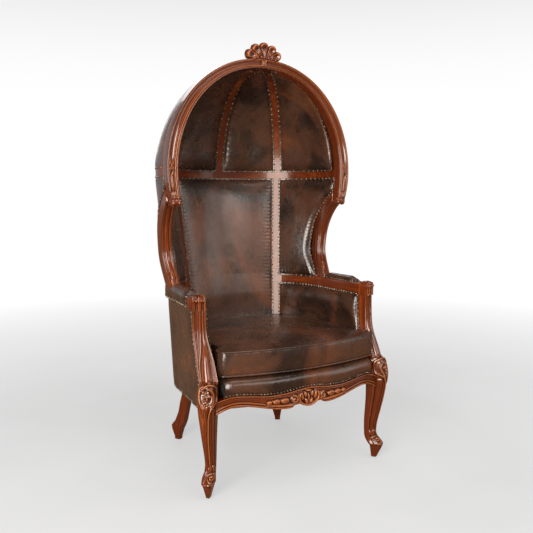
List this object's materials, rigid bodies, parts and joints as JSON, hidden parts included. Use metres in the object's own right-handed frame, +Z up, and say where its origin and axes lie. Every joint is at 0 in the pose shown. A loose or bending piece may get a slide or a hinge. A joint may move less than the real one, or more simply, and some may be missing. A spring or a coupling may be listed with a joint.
{
  "type": "hall porter chair",
  "caption": "Domed, hooded armchair of carved wood and nailed leather, with wings, cabriole front legs, sabre rear legs and a loose T-shaped seat cushion.",
  "frame": {"origin": "on the floor under the middle of the chair's overall box", "axes": "+Z up, the front faces -Y, left is -X as seen from the front"},
  "size_m": [0.819, 0.7819, 1.64],
  "materials": {
    "mahogany": "gloss lacquer",
    "rail_wood": "bare, planed",
    "leather": "antiqued, semi-gloss",
    "webbing": "woven, matt",
    "deck_cloth": "matt",
    "dust_cloth": "matt"
  },
  "bodies": {
    "chair": {"arm_pad_left": "leather", "arm_pad_right": "leather", "arm_rail_left": "mahogany", "arm_rail_right": "mahogany", "arm_rest_left": "leather", "arm_rest_right": "leather", "arm_support_left": "mahogany", "arm_support_right": "mahogany", "back_pad": "leather", "back_rail": "rail_wood", "back_stile_left": "mahogany", "back_stile_right": "mahogany", "crest_shell": "mahogany", "dome_pad_back_left": "leather", "dome_pad_back_right": "leather", "dome_pad_side_left": "leather", "dome_pad_side_right": "leather", "dome_rib_centre": "mahogany", "dome_rib_left": "mahogany", "dome_rib_right": "mahogany", "dust_cover": "dust_cloth", "face_arch_left": "mahogany", "face_arch_right": "mahogany", "front_border": "leather", "front_leg_left": "mahogany", "front_leg_right": "mahogany", "front_rail": "mahogany", "hood_hoop": "mahogany", "outer_arm_left": "leather", "outer_arm_right": "leather", "outer_back": "leather", "outer_dome_back_left": "leather", "outer_dome_back_right": "leather", "outer_dome_side_left": "leather", "outer_dome_side_right": "leather", "outer_wing_left": "leather", "outer_wing_right": "leather", "rear_leg_left": "mahogany", "rear_leg_right": "mahogany", "seat_cleats": "rail_wood", "seat_deck": "deck_cloth", "seat_webbing": "webbing", "side_rail_left": "rail_wood", "side_rail_right": "rail_wood", "wing_pad_left": "leather", "wing_pad_right": "leather", "wing_post_left": "mahogany", "wing_post_right": "mahogany"},
    "cushion": {"seat_cushion": "leather"}
  },
  "joints": [
    {"name": "cushion_lift", "type": "slide", "parent": "chair", "child": "cushion", "axis": [0, 0, 1], "range_m": [0, 0.3]}
  ]
}
